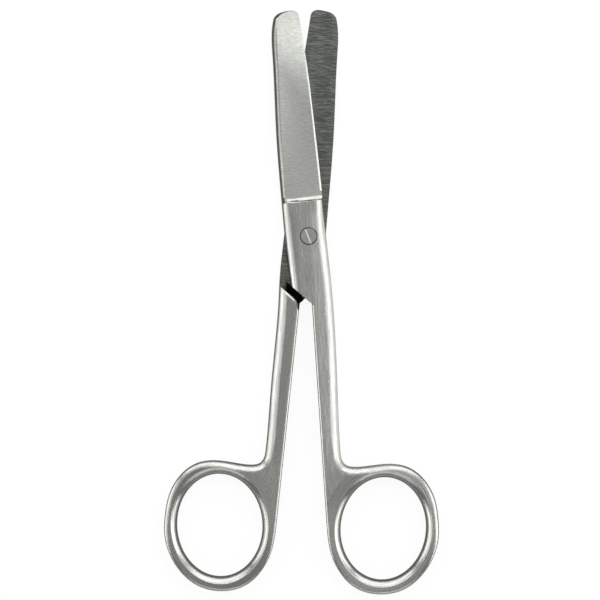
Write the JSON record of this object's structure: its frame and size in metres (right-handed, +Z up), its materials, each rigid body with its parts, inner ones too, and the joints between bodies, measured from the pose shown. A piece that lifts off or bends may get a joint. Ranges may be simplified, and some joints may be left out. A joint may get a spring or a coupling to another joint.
{
  "type": "surgical scissors",
  "caption": "Blunt-nosed surgical scissors in ground steel, two lapped halves with finger rings that swing on a slotted pivot screw.",
  "frame": {"origin": "foot of the pivot axis on the plane that the scissors lie on", "axes": "+Z up along the pivot axis, +Y towards the blade tips, +X to the right seen from above, with the scissors lying flat and partly open"},
  "size_m": [0.0683, 0.1454, 0.0046],
  "materials": {
    "ground_steel": "satin-ground stainless steel with fine grinding marks",
    "screw_steel": "satin-turned stainless steel"
  },
  "bodies": {
    "lower": {"lower_half": "ground_steel", "pivot_screw": "screw_steel"},
    "upper": {"upper_half": "ground_steel"}
  },
  "joints": [
    {"name": "pivot", "type": "hinge", "parent": "lower", "child": "upper", "pos_m": [0, 0, 0.0023], "axis": [0, 0, 1], "range_deg": [-9.7, 118]}
  ]
}
